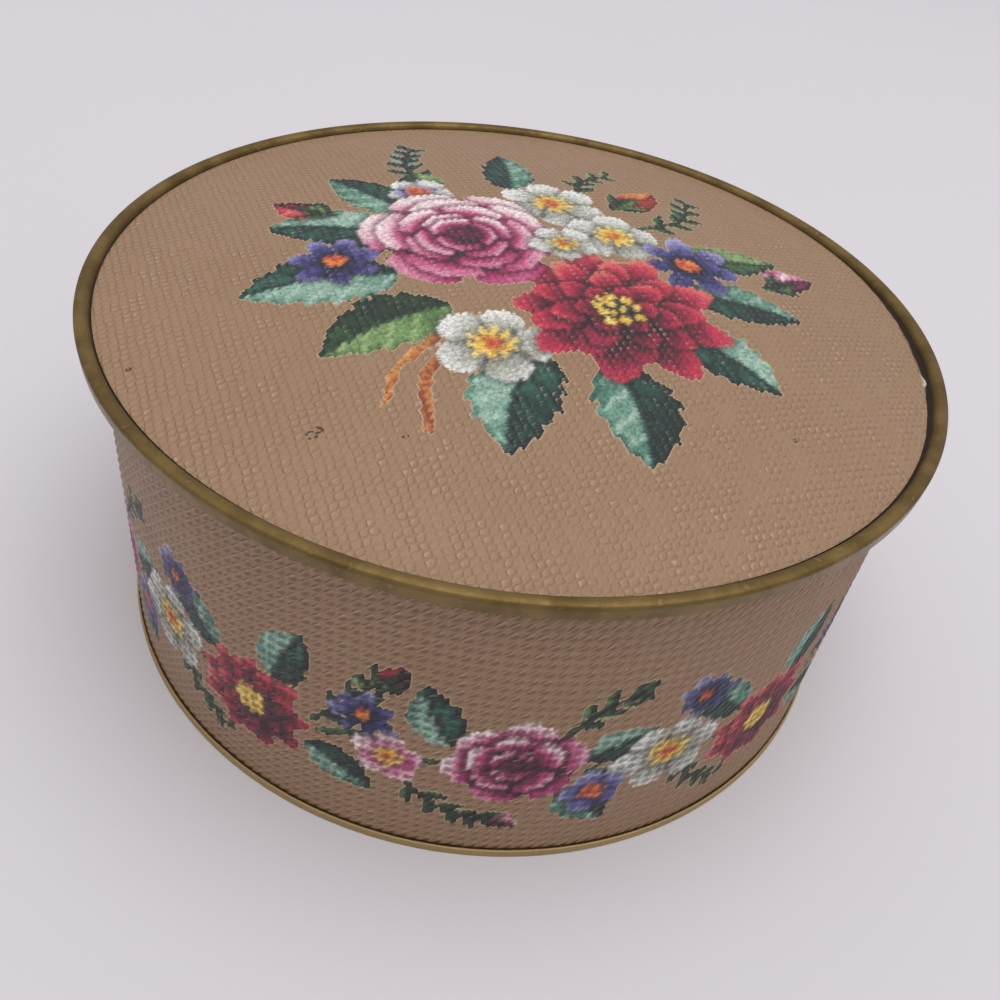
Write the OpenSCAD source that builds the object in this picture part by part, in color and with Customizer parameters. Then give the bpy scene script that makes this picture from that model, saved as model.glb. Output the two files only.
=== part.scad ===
// Round sewing tin: an embossed tinplate body with a seamed base, and a domed lid that lifts off.
// All sizes are in millimetres. The origin is the centre of the face that the tin stands on, and +Z is up.

/* [Body] */
// Outer diameter of the body wall
body_d = 190; // [120:1:260]
// Height of the body, from the table to the top of its rolled edge
body_h = 85.5; // [50:0.5:160]
// Thickness of the tinplate
sheet = 0.3; // [0.2:0.05:0.5]
// Diameter of the edge that is rolled inwards at the body's mouth
curl_d = 2.4; // [1.8:0.1:4]
// Width of the lap that closes the body wall at the back
lap_w = 6; // [4:0.5:10]

/* [Base] */
// Height of the base seam
seam_h = 2.3; // [1.5:0.1:4]
// How far the base seam stands out past the wall
seam_out = 0.7; // [0.6:0.05:1.5]
// Radius along the base seam's outer edges
seam_round = 0.4; // [0.2:0.05:0.5]
// Height of the base panel above the table
base_rise = 1.9; // [1.2:0.1:3]
// Distance from the base seam in to the stiffening step pressed into the base panel
step_in = 20; // [8:1:40]
// Height of the stiffening step
step_h = 0.8; // [0.4:0.1:1.2]

/* [Lid rim] */
// How far the lid's bead stands out past the body wall
overhang = 4.3; // [4.1:0.1:8]
// Width of the bead
bead_w = 2.8; // [2.2:0.1:3]
// Height of the bead
bead_h = 1.2; // [1.1:0.1:1.8]
// How far the bead stands out past the skirt
bead_lip = 0.15; // [0.1:0.05:0.5]
// Height of the whole rim, from the skirt's lower edge to the top of the bead
rim_h = 3.8; // [3.2:0.1:8]
// Height of the hem that is folded inside the skirt's lower edge
hem_h = 1.4; // [0.8:0.1:1.6]
// How far the rim's inner wall leans inwards on its way down
lean = 0.4; // [0.2:0.1:0.6]

/* [Lid panel] */
// Height of the panel's dome above its flat edge
dome_h = 9; // [3:0.5:20]
// Width of the panel's flat edge
flat_w = 1.4; // [0.8:0.1:3]
// Depth of the panel's edge below the top of the bead
panel_drop = 1.4; // [1.2:0.1:2.5]

/* [Lid pan] */
// Depth of the pan's wall inside the body
plug_h = 9; // [5:0.5:20]
// Height of the hem folded inside the lower edge of the pan's wall
plug_hem = 1.5; // [1:0.1:3]

/* [Fits] */
// Gap between the pan's wall and the body's rolled edge
plug_gap = 0.3; // [0.2:0.05:0.8]
// Gap between the lid's clinch and the outside of the body wall
clinch_gap = 0.4; // [0.3:0.05:0.6]
// Gap between the lid panel and the rim around it
panel_gap = 0.25; // [0.1:0.05:0.6]
// Gap left between sheets that are folded against each other
fold_gap = 0.05; // [0.02:0.01:0.1]

/* [Hidden] */
$fn = 180;

// Radii of the body, from its outer face inwards
wall_out = body_d / 2;
wall_in = wall_out - sheet;
curl_r = curl_d / 2;
mouth_r = wall_out - curl_d;

// Radii of the base
chuck_out = wall_in - fold_gap;
chuck_in = chuck_out - sheet;
seam_in = wall_out + fold_gap;
seam_r = wall_out + seam_out;
step_r = chuck_in - step_in;
lap_low = max(seam_h, base_rise + sheet) + sheet;

// Radii of the lid
rim_r = wall_out + overhang;
bead_in = rim_r - bead_w;
skirt_r = rim_r - bead_lip;
seat_r = bead_in - lean;
panel_r = seat_r - panel_gap;
dome_r = panel_r - flat_w;
clinch_r = wall_out + clinch_gap;
pan_r = seat_r - fold_gap;
plug_r = mouth_r - plug_gap;

// Heights of the lid, from the face that rests on the body upwards
pan_top = body_h + sheet;
ledge_top = pan_top + sheet;
panel_top = ledge_top + sheet;
bead_top = panel_top + panel_drop;
bead_low = bead_top - bead_h;
skirt_low = bead_top - rim_h;
clinch_low = body_h - sheet;

// Radius of the sphere that a cap of a given rim radius and height is cut from
function cap_sphere(rim, rise) = (rim * rim + rise * rise) / (2 * rise);

// A rectangle in the turned section, from one corner to the opposite one
module band(r0, z0, r1, z1) {
    translate([r0, z0]) square([r1 - r0, z1 - z0]);
}

// A rectangle with fully rounded ends, lying flat
module rolled(r0, z0, r1, z1) {
    end_r = (z1 - z0) / 2;
    translate([r0 + end_r, z0 + end_r]) circle(r = end_r, $fn = 48);
    translate([r1 - end_r, z0 + end_r]) circle(r = end_r, $fn = 48);
    band(r0 + end_r, z0, r1 - end_r, z1);
}

// An edge rolled inwards, hollow and open where the sheet's end stops short of the wall
module rolled_edge() {
    translate([wall_out - curl_r, body_h - curl_r]) difference() {
        circle(r = curl_r, $fn = 64);
        circle(r = curl_r - sheet, $fn = 64);
        translate([0, -curl_r]) square([curl_r - sheet, curl_r]);
    }
}

// Section of the embossed wall, from its foot in the base seam up to its rolled edge
module wall_section() {
    band(wall_in, sheet, wall_out, body_h - curl_r);
    rolled_edge();
}

// The lap at the back, where the two ends of the sheet lie over each other
module wall_lap() {
    lap_angle = lap_w / wall_in * 180 / PI;
    rotate([0, 0, 90 - lap_angle / 2]) rotate_extrude(angle = lap_angle)
        band(wall_in - sheet, lap_low, wall_in + sheet / 2, body_h - curl_d);
}

// Section of the base seam: a channel around the wall's foot, thicker outside where the sheets fold
module seam_section() {
    band(chuck_in, 0, chuck_out, base_rise + sheet);
    band(chuck_in, 0, seam_r - seam_round, sheet);
    band(seam_in, 0, seam_r - seam_round, seam_h);
    band(seam_in, seam_round, seam_r, seam_h - seam_round);
    intersection() {
        for (z = [seam_round, seam_h - seam_round])
            translate([seam_r - seam_round, z]) circle(r = seam_round, $fn = 48);
        band(seam_in, 0, seam_r, seam_h);
    }
}

// Section of the base panel, with the step that stiffens its middle
module base_section() {
    band(step_r - sheet, base_rise, chuck_out, base_rise + sheet);
    band(step_r - sheet, base_rise, step_r, base_rise + step_h + sheet);
    band(0, base_rise + step_h, step_r, base_rise + step_h + sheet);
}

// Section of the rim's bead, open below where the rim is hollow
module bead_section() {
    difference() {
        rolled(bead_in, bead_low, rim_r, bead_top);
        rolled(bead_in + sheet, bead_low + sheet, rim_r - sheet, bead_top - sheet);
        band(bead_in, bead_low - sheet, skirt_r - sheet, bead_low + bead_h / 2);
    }
}

// Section of the wall between the bead and the ledge that the panel lies on
module inner_wall_section() {
    polygon([
        [seat_r, pan_top],
        [seat_r + sheet, pan_top],
        [bead_in + sheet, bead_low + bead_h / 2],
        [bead_in, bead_low + bead_h / 2]
    ]);
}

// Section of the ledge and of the clinch that is folded round the pan's edge below it
module ledge_section() {
    band(dome_r, pan_top, seat_r + sheet, ledge_top);
    band(seat_r, clinch_low, seat_r + sheet, ledge_top);
    band(clinch_r, clinch_low, seat_r + sheet, body_h);
}

// Section of the skirt, with the hem folded inside its lower edge
module skirt_section() {
    band(skirt_r - sheet, skirt_low, skirt_r, bead_low + bead_h / 2);
    band(skirt_r - 2 * sheet, skirt_low, skirt_r, skirt_low + hem_h);
}

// Section of the domed panel: a spherical cap with a flat edge
module panel_section() {
    sphere_r = cap_sphere(dome_r, dome_h);
    sphere_z = ledge_top + dome_h - sphere_r;
    band(dome_r, ledge_top, panel_r, panel_top);
    intersection() {
        translate([0, sphere_z]) difference() {
            circle(r = sphere_r + sheet, $fn = 720);
            circle(r = sphere_r, $fn = 720);
        }
        band(0, ledge_top, dome_r, panel_top + dome_h + sheet);
    }
}

// Section of the pan: its flat plate, the wall that plugs into the body and the hem on that wall
module pan_section() {
    band(0, body_h, pan_r, pan_top);
    band(plug_r - sheet, body_h - plug_h, plug_r, body_h);
    band(plug_r - 2 * sheet, body_h - plug_h, plug_r, body_h - plug_h + plug_hem);
}

module body_wall() {
    color("#8f7059") {
        rotate_extrude() wall_section();
        wall_lap();
    }
}

module base_pan() {
    color("#8a7440") rotate_extrude() {
        seam_section();
        base_section();
    }
}

module lid_ring() {
    color("#8a7440") rotate_extrude() {
        bead_section();
        inner_wall_section();
        ledge_section();
        skirt_section();
    }
}

module lid_panel() {
    color("#a08570") rotate_extrude() panel_section();
}

module lid_pan() {
    color("#b5a883") rotate_extrude() pan_section();
}

body_wall();
base_pan();
lid_ring();
lid_panel();
lid_pan();
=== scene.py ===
"""Round sewing tin: embossed, printed tinplate with gold-lacquered trim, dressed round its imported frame.

Everything is in metres. The tin stands on the floor at z = 0, centred on the origin.
"""

import math

import bmesh
import bpy
import numpy as np
from mathutils import Matrix, Vector


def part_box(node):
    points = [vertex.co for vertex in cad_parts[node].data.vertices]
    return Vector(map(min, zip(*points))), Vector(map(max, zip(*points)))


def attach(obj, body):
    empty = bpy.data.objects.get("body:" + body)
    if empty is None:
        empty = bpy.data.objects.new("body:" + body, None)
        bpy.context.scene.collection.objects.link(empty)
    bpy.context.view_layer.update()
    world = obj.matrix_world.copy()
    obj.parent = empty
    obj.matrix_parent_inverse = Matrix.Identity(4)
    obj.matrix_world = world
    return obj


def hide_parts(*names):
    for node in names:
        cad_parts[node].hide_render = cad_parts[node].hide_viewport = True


bl_info = {
    "name": "Embossed sewing tin",
    "version": (1, 0, 0),
    "blender": (4, 5, 0),
    "location": "3D View > Sidebar > Sewing Tin",
    "description": "Dresses the frame of a round sewing tin in embossed and printed tinplate",
    "category": "Object",
}

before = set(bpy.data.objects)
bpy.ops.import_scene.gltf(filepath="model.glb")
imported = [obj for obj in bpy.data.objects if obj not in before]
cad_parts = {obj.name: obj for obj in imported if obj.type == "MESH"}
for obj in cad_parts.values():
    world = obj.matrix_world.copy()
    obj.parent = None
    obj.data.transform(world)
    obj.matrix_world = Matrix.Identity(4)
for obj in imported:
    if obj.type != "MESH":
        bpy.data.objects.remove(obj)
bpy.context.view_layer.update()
wall_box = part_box("body_wall")
ring_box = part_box("lid_ring")
panel_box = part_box("lid_panel")
pan_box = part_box("lid_pan")

MM = 0.001
FULL_TURN = 2 * math.pi
BACK = math.pi / 2

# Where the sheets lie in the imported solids
SHEET = 0.3 * MM
SEAM_TOP = 2.3 * MM
SEAM_REACH = 95.7 * MM
LEDGE = 86.1 * MM
DOME_RIM = 94.45 * MM
LAP = 6 * MM
WALL_REACH, _, WALL_TOP = wall_box[1]

# The wall's first row of stitches, hidden in the base seam, and its garland's start and repeat in stitches
EMBOSS_FOOT = SEAM_TOP - 0.35 * MM
GARLAND_START = 10.0
GARLAND_REPEAT = 46
STITCH_SEED = 3.0

# Chips in the lid's print, as places and radii
LID_CHIPS = (((-34.5 * MM, -67.3 * MM), 1.0 * MM), ((-33.7 * MM, -65.9 * MM), 0.7 * MM),
             ((-17.6 * MM, -64.8 * MM), 0.5 * MM), ((-74.5 * MM, -52.9 * MM), 0.4 * MM),
             ((58.7 * MM, -45.1 * MM), 0.3 * MM))


# Sizes and colours that a user would change

def srgb(red, green, blue):
    """A colour as written in 0 to 255, as the linear numbers that the shaders use."""
    def straight(value):
        value /= 255
        return value / 12.92 if value <= 0.04045 else ((value + 0.055) / 1.055) ** 2.4
    return (straight(red), straight(green), straight(blue))


def length(label, note, default, low, high):
    return bpy.props.FloatProperty(
        name=label, description=note, default=default * MM, min=low * MM, max=high * MM,
        subtype="DISTANCE", unit="LENGTH", precision=5)


def factor(label, note, default, low, high):
    return bpy.props.FloatProperty(
        name=label, description=note, default=default, min=low, max=high, subtype="FACTOR")


def colour(label, note, red, green, blue):
    return bpy.props.FloatVectorProperty(
        name=label, description=note, subtype="COLOR", size=3, default=srgb(red, green, blue), min=0, max=1)


class TinSizes(bpy.types.PropertyGroup):
    stitches_round: bpy.props.IntProperty(
        name="Stitches around", default=230, min=100, max=300,
        description="Embossed stitches round the wall, 46 to each repeat of the garland")
    lid_turn: bpy.props.FloatProperty(
        name="Pattern turn", description="How far the lid's pattern is turned",
        default=math.radians(-18.4), subtype="ANGLE", unit="ROTATION")
    wall_stitch: length("Wall stitch height", "Height of one embossed stitch on the wall", 2.53, 1, 5)
    lid_stitch: length("Lid stitch", "Width and height of one embossed stitch on the lid", 2.56, 1, 5)
    wall_emboss: length("Wall emboss", "Depth of the hollows between the wall's stitches", 0.3, 0, 0.6)
    lid_emboss: length("Lid emboss", "Depth of the creases between the lid's stitches", 0.17, 0, 0.6)
    widest_gap: length("Widest gap", "Gap on the right between the lid panel and its rim", 1.6, 0.2, 2)
    wall_sharp: factor("Wall ridges", "Above 1 the wall's stitches are thin ridges", 1.7, 0.5, 3)
    lid_sharp: factor("Lid bumps", "Below 1 the lid's stitches are wide bumps", 0.6, 0.3, 3)
    stitch_crest: factor("Stitch crest", "Where a stitch is highest, from its foot to its head", 0.78, 0.3, 0.9)


class TinColours(bpy.types.PropertyGroup):
    ground: colour("Ground", "Tan ground of the print", 150, 118, 88)
    # Painted shade: the tone that the hollows and creases of the emboss darken to
    groove_shade: colour("Groove shade", "Painted shade in the hollows and creases of the emboss", 88, 50, 28)
    halo: colour("Halo", "Pale line where a motif's colour stops short of the ground", 206, 184, 148)
    gold: colour("Gold lacquer", "Gold lacquer on the rim and the base", 126, 103, 58)
    gold_dark: colour("Aged gold", "Gold lacquer where it has dulled", 98, 78, 38)
    # Dark flecks of dirt, and painted shade in the creases of the gold lacquer
    grime_and_shade: colour("Grime and shade", "Dirt flecks, and painted shade in the creases", 20, 12, 6)
    rust: colour("Bare chip", "Colour at the edge of a chip in the print", 62, 34, 20)
    plate: colour("Plain tinplate", "Unprinted tinplate inside", 196, 188, 168)
    floor: colour("Floor", "Pale floor under the tin", 214, 210, 213)


# Tones that vary the colours above
GROUND_WARM = srgb(140, 107, 79)
GROUND_PALE = srgb(172, 143, 114)
# Painted highlight for the raised edges of the wall's stitches
RIDGE_HIGHLIGHT = srgb(194, 160, 130)
RUBBED = srgb(214, 194, 166)
GLINT = srgb(204, 186, 160)
PALE_FLECK = srgb(206, 186, 140)
INK_SHADOW = srgb(12, 10, 12)
# Rubbed gold, also used as painted light from the floor
RUBBED_AND_LIT_GOLD = srgb(186, 160, 112)
DULL_PLATE = srgb(176, 160, 126)
RAW_EDGE = srgb(150, 140, 118)
# Painted shade for the panel's edge, so that the gap round it reads dark
PANEL_EDGE_SHADE = srgb(36, 24, 16)
BARE_TONGUE = srgb(196, 184, 166)
FLOOR_CLOUD = srgb(208, 205, 209)

# Thread colours of the print, from dark to light
CRIMSON = [(36, 4, 16), (70, 8, 30), (110, 14, 42), (150, 22, 56), (180, 36, 66), (200, 62, 78),
           (216, 110, 100)]
ROSE = [(56, 8, 34), (100, 16, 58), (146, 30, 84), (180, 60, 110), (206, 116, 150),
        (226, 178, 190), (238, 218, 216)]
WHITE = [(92, 90, 84), (132, 130, 118), (162, 162, 148), (188, 188, 178), (208, 208, 200), (224, 223, 216)]
BLUE = [(16, 16, 38), (30, 30, 70), (52, 50, 104), (82, 78, 138), (116, 112, 164), (156, 154, 190)]
TEAL = [(10, 30, 28), (18, 50, 42), (34, 78, 64), (56, 104, 86), (88, 134, 114), (124, 162, 142),
        (156, 186, 168)]
GREEN = [(18, 38, 24), (34, 62, 36), (56, 92, 50), (84, 120, 66), (114, 146, 88), (146, 170, 112)]
STEM = [(92, 44, 26), (138, 68, 36), (176, 96, 50), (204, 138, 66)]
GOLDEN = [(150, 84, 34), (196, 130, 44), (222, 178, 66), (236, 212, 120)]
EMBER = [(120, 34, 26), (170, 52, 34), (206, 84, 44), (226, 140, 60)]
DARK = [(22, 26, 26), (30, 44, 40)]


def sizes():
    return bpy.context.scene.tin_sizes


def colours():
    return bpy.context.scene.tin_colours


# The stitch chart: flowers, leaves and sprays of this tin's own design, painted stitch by stitch

def grain(across, up, seed):
    """A fixed, even scatter of numbers from 0 to 1 over the chart."""
    wave = np.sin(across * 12.9898 + up * 78.233 + seed * 37.719) * 43758.5453
    return wave - np.floor(wave)


def neighbours(values):
    """The sum of each point's four neighbours, or for a mask whether any of them is in it."""
    return np.roll(values, 1, 0) + np.roll(values, -1, 0) + np.roll(values, 1, 1) + np.roll(values, -1, 1)


class Chart:
    """Colour and cover of each point of a sheet, placed in stitches and drawn in slanted half stitches."""

    def __init__(self, across, up, repeat=0, slant=1):
        across, up = np.meshgrid(across, up)
        over, along = 2 * (up - slant * across), 2 * (up + slant * across)
        row = np.floor(over + 1e-6)
        part = (along - row + 1e-6) % 2 - 1
        self.cell = row, np.round(along - part)
        over, along = row + 0.5 + 0.5 * (over - row - 0.5), along - 0.8 * part
        self.across, self.up = slant * (along - over) / 4, (along + over) / 4
        self.repeat = repeat
        self.rgb = np.zeros(self.across.shape + (3,))
        self.inked = np.zeros(self.across.shape, bool)
        self.drawn = 0

    def about(self, centre):
        """Distances across and up from a place, by the shorter way round where the pattern repeats."""
        a, b = self.across - centre[0], self.up - centre[1]
        if self.repeat:
            a = (a + self.repeat / 2) % self.repeat - self.repeat / 2
        return a, b

    def ink(self, where, threads, shade, uneven=0.05, shadow=0.0):
        """Fills points with the threads' tones, dark at 0 and light at 1, and shades the print round them."""
        self.drawn += 1
        grown = where
        for n in range(3 if shadow else 0):
            wider = grown | neighbours(grown)
            self.rgb[wider & ~grown] *= 1 - shadow * (1 - n / 3)
            grown = wider
        shade = shade + uneven * (grain(*self.cell, self.drawn) * 2 - 1)
        tones = np.array([srgb(*t) for t in threads])
        spot = np.clip(shade, 0, 1) * (len(threads) - 1)
        low = np.minimum(spot.astype(int), len(threads) - 2)
        part = (spot - low)[..., None]
        self.rgb[where] = (tones[low] * (1 - part) + tones[low + 1] * part)[where]
        self.inked |= where


def petals(chart, centre, radius, count, turn, threads, shape, light, dark,
           rib=0.0, rim=0.0, lean=0.0, fold=0.0, shadow=0.45):
    """One ring of petals: shape 0 is round and 1 pointed, lean lights the petals that face up and left."""
    a, b = chart.about(centre)
    reach, angle = np.hypot(a, b), np.arctan2(b, a) - turn
    place = angle * count / FULL_TURN
    which = np.round(place)
    side = (place - which) * 2
    over = np.abs(side)
    own = grain(which % count, count + 0 * which, radius + turn)
    edge = radius * (0.88 + 0.17 * own) * (1 - shape * over ** (1.3 + shape))
    along = reach / np.maximum(edge * np.where(over > 0.86, 0.9, 1.0), 1e-6)
    shade = dark + (light - dark) * np.clip(along, 0, 1) ** 1.3 * (1 - 0.4 * over ** 2)
    shade = shade + 0.2 * (own - 0.5) + lean * np.cos(np.arctan2(b, a) - 2.3) * along + fold * side * along
    shade = shade + rim * np.clip((along - 0.72) * 6, 0, 1)
    streak = np.abs((side * 2.5) % 1 - 0.5) < 0.14
    shade = shade - rib * np.where(streak & (along < 0.86), 1.0, 0.0)
    shade = np.where(over > 0.84, shade - 0.4, shade)
    chart.ink(along < 1, threads, shade, 0.05, shadow)


def disc(chart, centre, radius, threads, shade, uneven, shadow=0.0):
    a, b = chart.about(centre)
    chart.ink(np.hypot(a, b) < radius, threads, shade + 0 * a, uneven, shadow)


def seeds(chart, centre, radius, count, threads, size, turn=0.0):
    """Small dots in a ring, such as stamens."""
    for n in range(count):
        bearing = turn + n * FULL_TURN / count
        reach = radius * (0.75 + 0.5 * float(grain(n, count, radius)))
        spot = (centre[0] + reach * math.cos(bearing), centre[1] + reach * math.sin(bearing))
        disc(chart, spot, size, threads, 0.75, 0.2)


def leaf(chart, root, tip, width, threads, teeth, bright, fold):
    """A leaf with a toothed edge, a midrib and slanted veins. The half on the fold side is the lighter."""
    a, b = chart.about(root)
    run = np.array(tip, float) - np.array(root, float)
    span = math.hypot(*run)
    way = run / span
    along = (a * way[0] + b * way[1]) / span
    bend = 0.07 * math.sin(root[0] * 1.7 + tip[1])
    over = -a * way[1] + b * way[0] - bend * np.sin(np.pi * np.clip(along, 0, 1)) * span
    swell = np.sin(np.pi * np.clip(along, 0, 1) ** 0.78) ** 0.8
    tooth = (along * teeth + 0.25 * np.sign(over)) % 1
    half = width / 2 * swell * (0.84 + 0.24 * tooth)
    side = np.sign(over) * fold
    vein = ((along * span - np.abs(over) * 0.8) % 2.5) / 2.5
    shade = 0.47 + bright + 0.25 * side + 0.1 * np.sin(along * 6 + root[0] + 0.7 * over)
    shade = shade + np.where(vein < 0.26, np.where(side > 0, 0.24, -0.16), 0.0)
    shade = np.where(np.abs(over) > half - 0.5, shade - 0.3 + 0.12 * side, shade)
    shade = np.where(np.abs(over) < 0.3, 0.1 + 0.14 * side, shade)
    chart.ink((along > 0) & (along < 1) & (np.abs(over) < half), threads, shade, 0.06, 0.45)


def stem(chart, points, width, threads, shade, taper=0.5):
    """A stem through the points, as a smooth curve that gets thinner."""
    points = np.array(points, float)
    steps = np.linspace(0, len(points) - 1, 40)
    curve = np.stack([smooth_through(points[:, n], steps) for n in (0, 1)], 1)
    nearest = np.full(chart.across.shape, 9.0)
    lit = 0 * nearest
    for n, spot in enumerate(curve):
        a, b = chart.about(spot)
        apart = np.hypot(a, b) + width / 2 * taper * n / len(curve)
        lit = np.where(apart < nearest, np.sign(b - a * 0.4), lit)
        nearest = np.minimum(nearest, apart)
    chart.ink(nearest < width / 2, threads, shade + 0.22 * lit, 0.06)


def smooth_through(values, steps):
    """Catmull-Rom values at steps along a row of control values."""
    padded = np.concatenate(([2 * values[0] - values[1]], values, [2 * values[-1] - values[-2]]))
    n = np.clip(np.floor(steps).astype(int), 0, len(values) - 2)
    t = steps - n
    p0, p1, p2, p3 = (padded[n + k] for k in range(4))
    return 0.5 * (2 * p1 + (p2 - p0) * t + (2 * p0 - 5 * p1 + 4 * p2 - p3) * t ** 2
                  + (3 * p1 - p0 - 3 * p2 + p3) * t ** 3)


def spray(chart, points, threads, pairs, blade, width):
    """A stalk with small leaves in turn on its two sides."""
    stem(chart, points, 0.7, threads, 0.25, 0.3)
    points = np.array(points, float)
    steps = np.linspace(0.25, len(points) - 1, pairs * 2)
    spots = np.stack([smooth_through(points[:, n], steps) for n in (0, 1)], 1)
    ahead = np.stack([smooth_through(points[:, n], steps + 0.05) for n in (0, 1)], 1) - spots
    for n, (spot, way) in enumerate(zip(spots, ahead)):
        bearing = math.atan2(way[1], way[0]) + (0.8 if n % 2 else -0.8)
        size = blade * (1 - 0.35 * n / len(spots))
        tip = spot + size * np.array([math.cos(bearing), math.sin(bearing)])
        leaf(chart, spot, tip, width, threads, 1, 0.1 * (n % 3 - 1), 1 if n % 2 else -1)


def dahlia(chart, centre, radius, turn):
    """A bloom of pointed petals in rings, deep at their roots, with coral tips on the upper left."""
    rings = ((1.0, 9, 0.0), (0.8, 9, 0.35), (0.58, 7, 0.1), (0.38, 6, 0.4))
    for n, (share, count, shift) in enumerate(rings):
        petals(chart, centre, radius * share, count, turn + shift, CRIMSON, 0.42, 0.74 - 0.06 * n, -0.2,
               rib=0.12, rim=0.1, lean=0.24, fold=0.12, shadow=0.62)
    disc(chart, centre, radius * 0.15, DARK, 0.4, 0.3, 0.6)
    if radius > 5:
        seeds(chart, centre, radius * 0.19, 9, GOLDEN, 0.5)
    seeds(chart, centre, radius * 0.07, 3, GOLDEN, 0.4, 0.5)


def peony(chart, centre, radius, turn):
    """A full round bloom: broad cupped petals, pale at their rims and deep between."""
    rings = ((1.0, 6, 0.0), (0.83, 5, 0.6), (0.66, 5, 0.1), (0.49, 4, 0.6), (0.33, 3, 0.2))
    if radius < 9:
        rings = rings[::2]
    for n, (share, count, shift) in enumerate(rings):
        petals(chart, centre, radius * share, count, turn + shift, ROSE, 0.12, 0.56 + 0.05 * (n % 2), -0.12,
               rim=0.3, lean=0.3 - 0.04 * n, fold=0.16 if n % 2 else -0.12, shadow=0.6)
    disc(chart, centre, radius * 0.13, ROSE, 0.1, 0.1, 0.5)


def anemone(chart, centre, radius, turn, count, heart=GOLDEN, threads=WHITE):
    """A flat flower of a few broad petals round a coloured heart."""
    petals(chart, centre, radius, count, turn, threads, 0.2, 0.98, 0.16,
           rib=0.16, lean=0.24, fold=0.14, shadow=0.6)
    petals(chart, centre, radius * 0.46, count * 2, turn + 0.2, heart, 0.7, 1.0, 0.3, shadow=0.3)
    disc(chart, centre, radius * 0.15, EMBER, 0.6, 0.3)


def cornflower(chart, centre, radius, turn):
    """A ragged blue flower with a small warm eye."""
    petals(chart, centre, radius, 7, turn, BLUE, 0.45, 0.84, 0.05, rib=0.12, lean=0.22, shadow=0.6)
    petals(chart, centre, radius * 0.62, 6, turn + 0.4, BLUE, 0.36, 0.5, -0.1, lean=0.14, rim=0.1)
    disc(chart, centre, radius * 0.22, EMBER, 0.7, 0.3, 0.5)


def bud(chart, root, tip, width, threads):
    """A closed bud on its green cup."""
    root, tip = np.array(root, float), np.array(tip, float)
    leaf(chart, root, tip, width, threads, 1, 0.1, 1)
    leaf(chart, root - 0.15 * (tip - root), root + 0.62 * (tip - root), width * 0.42, GREEN, 1, 0.0, -1)
    side = np.array([tip[1] - root[1], root[0] - tip[0]]) * 0.32
    for way in (1, -1):
        leaf(chart, root, root + 0.4 * (tip - root) + side * way, width * 0.3, GREEN, 1, 0.1 * way, 1)


def paint(chart, design):
    """Draws a design's motifs in their order."""
    for motif, places in design:
        for place in places:
            motif(chart, *place)


# The lid's bouquet, in stitches from the middle of the lid: each drawn over those before it
POSY = (
    (spray, (
        ([(6, 14), (9, 20), (8, 25.5)], GREEN, 5, 3.0, 1.3),
        ([(-16, 10), (-20, 14), (-22, 19)], TEAL, 5, 3.2, 1.4),
        ([(-2, 18), (-3, 22), (-1.4, 26.6)], GREEN, 4, 2.6, 1.2),
    )),
    (stem, (
        ([(0.5, -14), (-0.4, -19), (2.6, -24.6)], 1.5, STEM, 0.6),
        ([(-1.6, -14), (-2.6, -19.6), (-1.4, -24)], 1.0, STEM, 0.8),
    )),
    (leaf, (
        ((-13, 3), (-24.5, 6.4), 6.4, TEAL, 6, 0.0, 1),
        ((-12, -2), (-23.6, -6.4), 7.6, TEAL, 6, 0.14, -1),
        ((-9, -8), (-19, -17.6), 8.4, TEAL, 6, 0.1, 1),
        ((-3, -10), (-8.6, -21.4), 7.4, GREEN, 6, -0.04, 1),
        ((6, -12), (8.8, -24), 7.8, TEAL, 7, 0.08, -1),
        ((12, -10), (18.6, -19.4), 7.4, TEAL, 6, -0.06, -1),
        ((15, -2), (25, -4.6), 6.8, TEAL, 6, 0.12, 1),
        ((14, 5), (24.2, 8.2), 6.4, TEAL, 6, 0.0, 1),
        ((11, 12), (19.6, 18), 5.6, GREEN, 5, 0.1, 1),
        ((-8, 14), (-13.4, 23.6), 5.6, TEAL, 6, -0.06, -1),
        ((-14, 9), (-18.4, 12.4), 5, GREEN, 4, 0.1, -1),
    )),
    (bud, (
        ((2.6, 17.6), (4.2, 25.2), 4.4, EMBER),
        ((20, 12.4), (23.6, 17.8), 4.2, ROSE),
        ((-20, -1.2), (-26, -1.6), 3.8, CRIMSON),
    )),
    (anemone, (
        ((2.4, -13), 5.2, 0.5, 5),
        ((-3.2, 13.6), 5.2, 0.1, 6),
        ((4.6, 10.6), 4.8, 0.7, 5),
    )),
    (cornflower, (
        ((12.4, 10.2), 5.2, 0.3),
        ((-14.8, -8.8), 4.4, 0.9),
    )),
    (anemone, (((-15.2, 7.8), 3.4, 0.3, 5, EMBER, BLUE[2:] + WHITE[3:]),)),
    (dahlia, (((9.2, -2.2), 10.2, 0.2),)),
    (peony, (((-7.2, 1.6), 9.8, 0.5),)),
    (anemone, (((1.2, 5.8), 3.4, 0.2, 5),)),
)

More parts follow.
